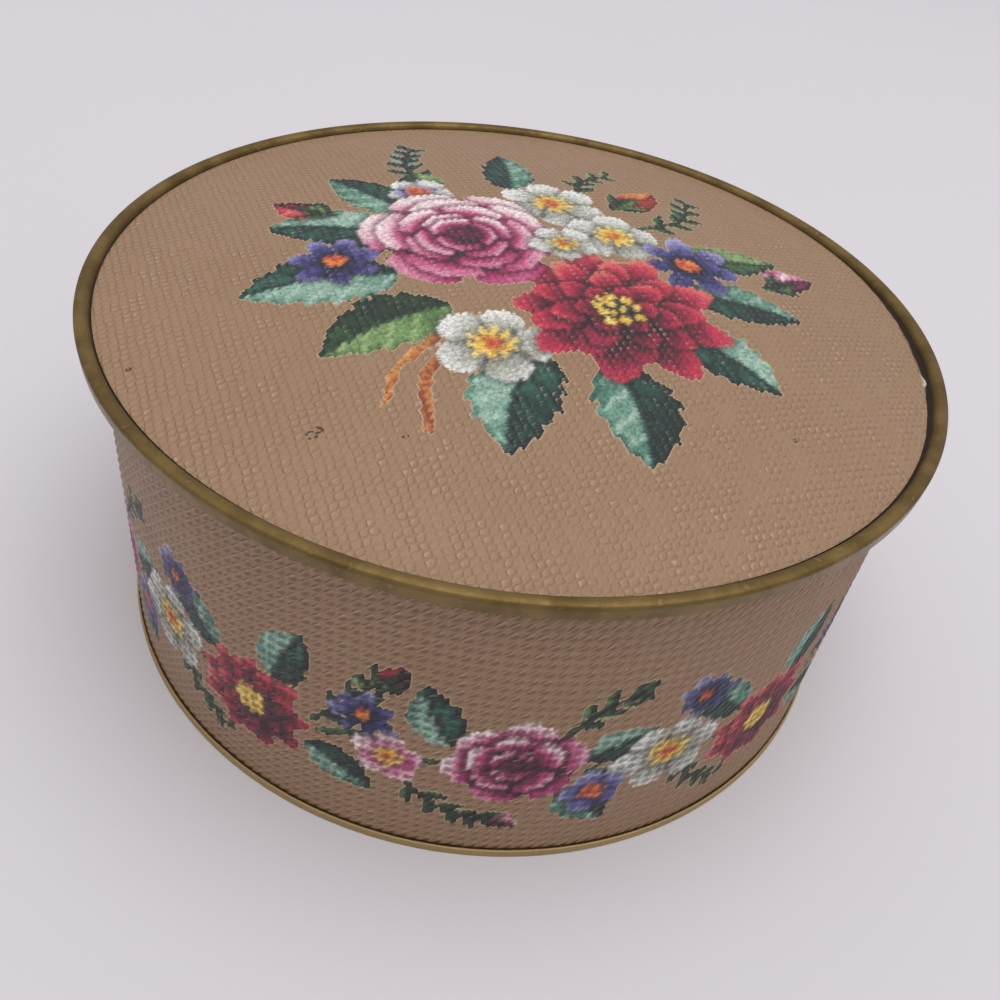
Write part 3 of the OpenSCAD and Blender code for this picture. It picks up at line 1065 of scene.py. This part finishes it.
def build_panel():
    """The domed lid panel: a square mesh of stitches cut to a circle, its flat edge and its underside."""
    size = sizes()
    cut = DOME_RIM - 0.25 * MM
    fine = 4
    step = size.lid_stitch / fine
    half = int(cut / step) + 2
    line = np.arange(-half, half + 1)
    a, b = np.meshgrid(line * step, line * step)
    far = np.hypot(a, b)
    squeeze = np.where(far > cut, cut / np.maximum(far, 1e-9), 1.0)
    number = np.arange(a.size).reshape(a.shape)
    quads = np.stack([number[:-1, :-1], number[:-1, 1:], number[1:, 1:], number[1:, :-1]], -1)
    quads = quads.reshape(-1, 4)
    quads = quads[~(far > cut).ravel()[quads].all(1)]
    used = np.unique(quads)
    renumber = np.full(a.size, -1)
    renumber[used] = np.arange(len(used))
    stitch = np.stack([b.ravel(), -a.ravel(), 0 * a.ravel()], 1)[used] / size.lid_stitch
    a, b = (a * squeeze).ravel()[used], (b * squeeze).ravel()[used]
    reach = np.hypot(a, b)
    top = np.stack([a, b, dome_height(reach)], 1)
    quads = renumber[quads]

    edges = np.sort(np.stack([quads, np.roll(quads, -1, 1)], -1).reshape(-1, 2), 1)
    pairs, times = np.unique(edges, axis=0, return_counts=True)
    border = np.unique(pairs[times == 1])
    border = border[np.argsort(np.arctan2(b[border], a[border]))]
    bearing = np.arctan2(b[border], a[border])
    count = len(border)
    low, high = panel_box[0][2], panel_box[0][2] + SHEET
    edge, tongue = panel_edge(bearing + size.lid_turn)
    rings = [(np.minimum(edge - 0.4 * MM, 95.0 * MM), high), (edge - 0.1 * MM, high),
             (edge, high - 0.1 * MM), (edge, low + 0.08 * MM), (edge - 0.08 * MM, low), (93.9 * MM, low)]
    edge_rings = len(rings)
    rings += [(r, dome_height(r, -SHEET)) for r in (75 * MM, 45 * MM, 15 * MM)]
    points, faces = [top], quads.tolist()
    before = border
    total = len(top)
    for r, z in rings:
        here = np.arange(total, total + count)
        points.append(around(r, z, bearing))
        faces += np.stack([before, here, np.roll(here, -1), np.roll(before, -1)], 1).tolist()
        before, total = here, total + count
    points.append(np.array([[0, 0, dome_height(0.0, -SHEET)]]))
    faces += np.stack([before, np.full(count, total), np.roll(before, -1)], 1).tolist()
    points = np.concatenate(points)

    cos, sin = math.cos(size.lid_turn), math.sin(size.lid_turn)
    x, y, z = points.T
    piece = new_piece("lid_print", np.stack([x * cos - y * sin, x * sin + y * cos, z], 1).tolist(), faces)
    press = np.zeros((len(points), 3))
    press[:len(top), 2] = -np.clip((cut - reach) / (0.5 * MM), 0, 1)
    whole = np.zeros((len(points), 3))
    whole[:len(top)] = stitch
    set_on_points(piece, "press", press)
    set_on_points(piece, "stitch", whole)

    chart = Chart(line / fine, line / fine, slant=-1)
    paint(chart, POSY)
    rgba = np.zeros((len(points), 4))
    rgba[:len(top)] = print_colours(chart).reshape(-1, 4)[used]
    rim = np.arange(len(top), len(top) + edge_rings * count)
    # Painted shade: the panel's rounded edge, side and flange are dark, so that the gap reads as shadow
    rgba[rim[count * 2:]] = (*PANEL_EDGE_SHADE, 1.0)
    rgba[rim[np.tile(tongue > 0.3, edge_rings)]] = (*BARE_TONGUE, 1.0)
    colour_points(piece, rgba)
    finish = printed_tinplate(
        "Printed tinplate, lid", over_the_lid, size.lid_sharp, split=1.0,
        hollow_shade=0.0, crease_shade=0.34, relief=0.24 * MM, ridge_highlight=0.0, chips=LID_CHIPS)
    pressed(piece, finish, size.lid_emboss, size.lid_sharp, 1.0)
    keep(piece, "lid", "printed_tinplate", "lid_panel")


# The trim: base, rim and pan

def build_base():
    """The base pan: recessed panel with its step, and the seam that stands proud of the wall."""
    seam, top, wall = SEAM_REACH / MM, SEAM_TOP / MM, WALL_REACH / MM + 0.04
    inside, panel, step = 94.5, 2.05, 74.7
    seam_outline = softened([
        (wall, top - 0.15, 0), (wall + 0.15, top, 0.12), (seam - 0.08, top - 0.08, 0.4), (seam, 1.7, 0.3),
        (seam - 0.08, 0.7, 0.3), (seam - 0.05, 0, 0.4), (wall - 0.8, 0, 0.3), (inside - 0.05, 0.6, 0.2),
        (wall, 0.6, 0)], 6)
    recess = softened([
        (0, panel + 0.8, 0), (step - 0.8, panel + 0.8, 0.7), (step, panel, 0.7), (inside, panel, 0.5),
        (inside, 0.2, 0)], 6)
    # Painted shade at the crease over the seam and where the seam meets the floor, and painted light from the
    # floor
    finish = gold_lacquer("Gold lacquer, base", [
        ((wall + 0.06) * MM, SEAM_TOP, 0.12 * MM), (SEAM_REACH, 0.0, 0.2 * MM)], painted_bounce_light=0.7)
    piece = turned("base_shell", [seam_outline, folded_sheet(recess)], finish)
    keep(piece, "tin", "gold_lacquer", "base_pan")


def build_rim():
    """The lid's rim: hemmed skirt, crowned bead, inner wall, ledge and clinch."""
    rim, top, low, ledge = ring_box[1][0] / MM, ring_box[1][2] / MM, ring_box[0][2] / MM, LEDGE / MM
    half = SHEET / MM / 2
    path = softened([
        (rim - 0.75, low + 1.4, 0), (rim - 0.75, low + half, 0.2), (rim - 0.3, low + half, 0.2),
        (rim - 0.3, top - 1.3, 0.1), (rim - half, top - 1.15, 0.3), (rim - 0.2, top - 0.45, 0.5),
        (rim - 1.1, top - half, 0.7), (rim - 2.1, top - 0.25, 0.6), (rim - 2.65, top - 0.65, 0.4),
        (rim - 2.9, top - 1.2, 0.2), (rim - 3.05, ledge, 0.2), (rim - 3.1, ledge - half, 0.1),
        (94.5, ledge - half, 0)], 7)
    clinch = softened([(96.2, ledge - 0.3, 0), (96.2, ledge - 0.8, 0.15), (95.45, ledge - 0.8, 0)], 4)
    skirt_top = (top - 1.25) * MM
    # Painted shade in the crease under the bead and on the ledge under the panel's gap
    finish = gold_lacquer("Gold lacquer, rim", [
        ((rim - 0.15) * MM, skirt_top, 0.1 * MM), (95.3 * MM, LEDGE, 1.0 * MM)], skirt_top)
    piece = turned("rim_shell", [folded_sheet(path), folded_sheet(clinch)], finish, 480)
    keep(piece, "lid", "gold_lacquer", "lid_ring")


def build_pan():
    """The pan under the lid: a flat plate with the hemmed wall that plugs into the tin."""
    top, low, half = pan_box[1][2] / MM, pan_box[0][2] / MM, SHEET / MM / 2
    plug, hem = 92.15, 91.8
    plate = softened([(0, top - half, 0), (96.0, top - half, 0)], 4)
    wall = softened([
        (plug, top - half - 0.1, 0), (plug, low + half, 0.22), (hem, low + half, 0.22), (hem, low + 1.5, 0)], 5)
    finish = plain_tinplate("Plain tinplate, lid")
    piece = turned("pan_shell", [folded_sheet(plate), folded_sheet(wall)], finish)
    keep(piece, "lid", "plain_tinplate", "lid_pan")


def keep(piece, body, slot, *nodes):
    """Joins a finished piece to its body and the frame's nodes that it stands for; its finish slot is not used.
    """
    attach(piece, body)
    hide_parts(*nodes)


# The stage

def aim_camera():
    """The camera at the angle and distance from which the tin is seen."""
    pan, tilt, roll = 0.0119, 0.7233, -0.1659
    ahead = Vector((math.sin(pan) * math.cos(tilt), math.cos(pan) * math.cos(tilt), -math.sin(tilt)))
    level = Vector((math.cos(pan), -math.sin(pan), 0))
    down = ahead.cross(level)
    right = math.cos(roll) * level + math.sin(roll) * down
    down = -math.sin(roll) * level + math.cos(roll) * down
    data = bpy.data.cameras.new("Camera")
    data.lens, data.sensor_width, data.clip_start, data.clip_end = 36.42, 36.0, 0.01, 20.0
    camera = bpy.data.objects.new("Camera", data)
    turn = Matrix((right, -down, -ahead)).transposed().to_4x4()
    camera.matrix_world = Matrix.Translation((0.0, -0.21175, 0.20864)) @ turn
    bpy.context.scene.collection.objects.link(camera)
    bpy.context.scene.camera = camera


def build_floor():
    """A wide pale floor."""
    floor = new_piece("floor", [(-3, -3, 0), (3, -3, 0), (3, 3, 0), (-3, 3, 0)], [(0, 1, 2, 3)])
    finish, w, shader, place = new_finish("Floor paint")
    cloud = w.span(w.noise(place, 3.0, 2.0), 0.3, 0.7, 0.0, 0.25)
    w.feed_all(shader, {"Base Color": w.mix(cloud, colours().floor, FLOOR_CLOUD), "Roughness": 0.75,
                        "Specular IOR Level": 0.2})
    floor.data.materials.append(finish)


def light_stage():
    """A pale, even room with one large soft lamp high up, a little to the front and right."""
    world = bpy.data.worlds.new("Soft room")
    world.use_nodes = True
    w = Wiring(world.node_tree)
    up = w.parts(w.add("ShaderNodeTexCoord", outlet="Generated"))[2]
    w.feed_all(world.node_tree.nodes["Background"], {
        "Color": (0.97, 0.96, 1.0, 1), "Strength": w.span(up, -0.1, 0.8, 0.48, 0.7)})
    bpy.context.scene.world = world

    data = bpy.data.lights.new("Overhead", "AREA")
    data.shape, data.size, data.energy = "DISK", 2.2, 29.0
    lamp = bpy.data.objects.new("Overhead", data)
    lamp.location = (0.3, -0.3, 2.3)
    aim = Vector((0, 0, 0.05)) - lamp.location
    lamp.rotation_euler = aim.to_track_quat("-Z", "Y").to_euler()
    bpy.context.scene.collection.objects.link(lamp)


# The add-on's operators and panel

class TIN_OT_stage(bpy.types.Operator):
    """Sets the floor, the light and the camera"""
    bl_idname = "tin.stage"
    bl_label = "Stage"

    def execute(self, context):
        build_floor()
        light_stage()
        aim_camera()
        context.scene.view_settings.view_transform = "Standard"
        return {"FINISHED"}


class TIN_OT_wall(bpy.types.Operator):
    """Makes the embossed, printed wall and its plain inside"""
    bl_idname = "tin.wall"
    bl_label = "Body wall"

    def execute(self, context):
        build_wall()
        return {"FINISHED"}


class TIN_OT_base(bpy.types.Operator):
    """Makes the gold-lacquered base with its seam"""
    bl_idname = "tin.base"
    bl_label = "Base"

    def execute(self, context):
        build_base()
        return {"FINISHED"}


class TIN_OT_panel(bpy.types.Operator):
    """Makes the domed, printed lid panel"""
    bl_idname = "tin.panel"
    bl_label = "Lid panel"

    def execute(self, context):
        build_panel()
        return {"FINISHED"}


class TIN_OT_rim(bpy.types.Operator):
    """Makes the gold-lacquered rim of the lid"""
    bl_idname = "tin.rim"
    bl_label = "Lid rim"

    def execute(self, context):
        build_rim()
        return {"FINISHED"}


class TIN_OT_pan(bpy.types.Operator):
    """Makes the plain pan that plugs the lid into the tin"""
    bl_idname = "tin.pan"
    bl_label = "Lid pan"

    def execute(self, context):
        build_pan()
        return {"FINISHED"}


OPERATORS = (TIN_OT_stage, TIN_OT_wall, TIN_OT_base, TIN_OT_rim, TIN_OT_panel, TIN_OT_pan)


class TIN_PT_parts(bpy.types.Panel):
    """Sizes, colours and pieces of the sewing tin"""
    bl_idname = "TIN_PT_parts"
    bl_label = "Sewing Tin"
    bl_space_type = "VIEW_3D"
    bl_region_type = "UI"
    bl_category = "Sewing Tin"

    def draw(self, context):
        for group in (context.scene.tin_sizes, context.scene.tin_colours):
            box = self.layout.box()
            for name in group.__annotations__:
                box.prop(group, name)
        for operator in OPERATORS:
            self.layout.operator(operator.bl_idname)


CLASSES = (TinSizes, TinColours) + OPERATORS + (TIN_PT_parts,)


def register():
    for item in CLASSES:
        bpy.utils.register_class(item)
    bpy.types.Scene.tin_sizes = bpy.props.PointerProperty(type=TinSizes)
    bpy.types.Scene.tin_colours = bpy.props.PointerProperty(type=TinColours)


def unregister():
    del bpy.types.Scene.tin_colours
    del bpy.types.Scene.tin_sizes
    for item in reversed(CLASSES):
        bpy.utils.unregister_class(item)


def main():
    register()
    bpy.ops.tin.stage()
    bpy.ops.tin.wall()
    bpy.ops.tin.base()
    bpy.ops.tin.rim()
    bpy.ops.tin.panel()
    bpy.ops.tin.pan()


if __name__ == "__main__":
    main()
